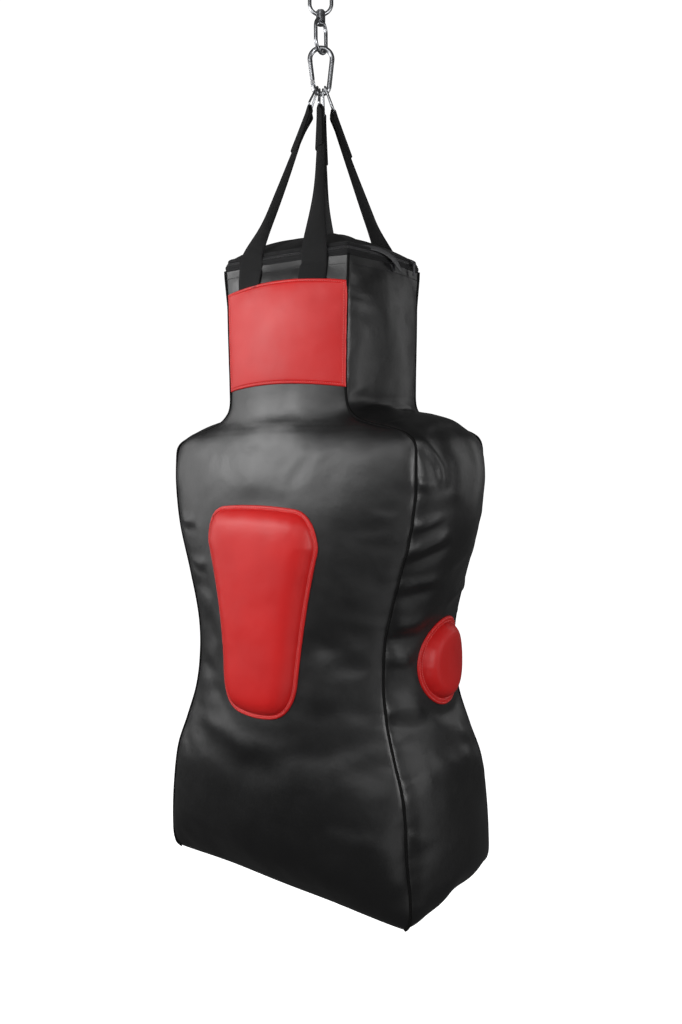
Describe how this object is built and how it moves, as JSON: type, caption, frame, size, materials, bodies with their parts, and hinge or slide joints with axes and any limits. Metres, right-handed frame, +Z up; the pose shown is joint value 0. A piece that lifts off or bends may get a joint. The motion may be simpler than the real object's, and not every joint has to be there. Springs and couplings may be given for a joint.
{
  "type": "hanging torso grappling bag",
  "caption": "Hanging stuffed bag shaped like a torso with head, shoulders and hips, raised strike pads, a zipped lid, webbing straps, wire rings, a snap hook and a swivel eye.",
  "frame": {"origin": "inside of the top of the swivel's upper eye, where the bag hangs from its bracket or chain", "axes": "+Z up along the hanging line, -Y the way the front of the torso faces, +X the torso's side with the zip sliders"},
  "size_m": [0.578, 0.3685, 1.595],
  "materials": {
    "black_leather": "soft black synthetic leather, satin",
    "red_leather": "soft red synthetic leather, satin",
    "webbing": "black woven polyester webbing, matte",
    "foam": "closed cell foam sheet, matte",
    "textile_fill": "packed shredded textile",
    "zip_tape": "black woven zip tape, matte",
    "zip_coil": "black plastic zip coil",
    "zip_metal": "dark enamelled zip slider, semi-gloss",
    "ring_steel": "zinc plated round wire",
    "swivel_steel": "zinc plated forged steel",
    "hook_steel": "zinc plated round bar",
    "rivet_steel": "plain steel"
  },
  "bodies": {
    "hanger": {"swivel_upper_eye": "swivel_steel", "swivel_pin": "swivel_steel"},
    "swivel": {"swivel_lower_eye": "swivel_steel"},
    "hook": {"hook_frame": "hook_steel", "gate_rivet": "rivet_steel"},
    "gate": {"hook_gate": "hook_steel", "gate_spring": "rivet_steel"},
    "bag": {"front_panel": "black_leather", "back_panel": "black_leather", "left_side_panel": "black_leather", "right_side_panel": "black_leather", "bottom_panel": "black_leather", "foam_liner": "foam", "textile_fill_lower": "textile_fill", "textile_fill_upper": "textile_fill", "rim_zip_tape": "zip_tape", "rim_zip_coil": "zip_coil", "head_patch": "red_leather", "chest_pad_cover": "red_leather", "chest_pad_foam": "foam", "left_pad_cover": "red_leather", "left_pad_foam": "foam", "right_pad_cover": "red_leather", "right_pad_foam": "foam", "front_left_strap": "webbing", "front_right_strap": "webbing", "back_left_strap": "webbing", "back_right_strap": "webbing", "lid_padding": "textile_fill"},
    "lid": {"lid_panel": "black_leather", "lid_zip_coil": "zip_coil"},
    "front_slider": {"front_zip_slider": "zip_metal"},
    "rear_slider": {"rear_zip_slider": "zip_metal"},
    "front_pull": {"front_zip_pull": "zip_metal"},
    "rear_pull": {"rear_zip_pull": "zip_metal"},
    "front_left_ring_body": {"front_left_ring": "ring_steel"},
    "front_right_ring_body": {"front_right_ring": "ring_steel"},
    "back_left_ring_body": {"back_left_ring": "ring_steel"},
    "back_right_ring_body": {"back_right_ring": "ring_steel"}
  },
  "joints": [
    {"name": "swivel_turn", "type": "hinge", "parent": "hanger", "child": "swivel", "pos_m": [0, 0, -0.0588], "axis": [0, 0, 1], "continuous": true},
    {"name": "hook_swing", "type": "hinge", "parent": "swivel", "child": "hook", "pos_m": [0, 0, -0.1193], "axis": [-0.1305, 0.9914, 0], "range_deg": [-30, 30]},
    {"name": "gate_open", "type": "hinge", "parent": "hook", "child": "gate", "pos_m": [-0.01243, -0.00886, -0.1749], "axis": [-0.5807, 0.8141, 0], "range_deg": [0, 24], "stiffness_Nm_per_rad": 0.05, "springref_deg": -11.46},
    {"name": "bag_swing", "type": "hinge", "parent": "hook", "child": "bag", "pos_m": [0, 0, -0.195], "axis": [0.8141, 0.5807, 0], "range_deg": [-12, 12]},
    {"name": "lid_lift", "type": "hinge", "parent": "bag", "child": "lid", "pos_m": [-0.14, 0, -0.51], "axis": [0, -1, 0], "range_deg": [0, 2.5]},
    {"name": "front_zip_slide", "type": "slide", "parent": "bag", "child": "front_slider", "axis": [0, 1, 0], "range_m": [-0.07, 0.02]},
    {"name": "front_pull_lift", "type": "hinge", "parent": "front_slider", "child": "front_pull", "pos_m": [0.1461, 0.011, -0.5106], "axis": [0, -1, 0], "range_deg": [0, 140]},
    {"name": "rear_zip_slide", "type": "slide", "parent": "bag", "child": "rear_slider", "axis": [0, 1, 0], "range_m": [-0.03, 0.01]},
    {"name": "rear_pull_lift", "type": "hinge", "parent": "rear_slider", "child": "rear_pull", "pos_m": [0.1461, 0.08, -0.5106], "axis": [0, -1, 0], "range_deg": [0, 140]},
    {"name": "front_left_ring_tilt", "type": "hinge", "parent": "bag", "child": "front_left_ring_body", "pos_m": [-0.01495, -0.01841, -0.22619], "axis": [-0.5716, 0.8013, -0.1768], "range_deg": [0, 1.2]},
    {"name": "front_right_ring_tilt", "type": "hinge", "parent": "bag", "child": "front_right_ring_body", "pos_m": [0.00579, -0.01555, -0.23081], "axis": [-0.531, 0.7444, -0.4048], "range_deg": [-1.2, 1.2]},
    {"name": "back_left_ring_tilt", "type": "hinge", "parent": "bag", "child": "back_left_ring_body", "pos_m": [-0.00579, 0.01555, -0.23081], "axis": [-0.531, 0.7444, 0.4048], "range_deg": [-1.2, 1.2]},
    {"name": "back_right_ring_tilt", "type": "hinge", "parent": "bag", "child": "back_right_ring_body", "pos_m": [0.01495, 0.01841, -0.22619], "axis": [-0.5716, 0.8013, 0.1768], "range_deg": [-1.2, 0]}
  ]
}
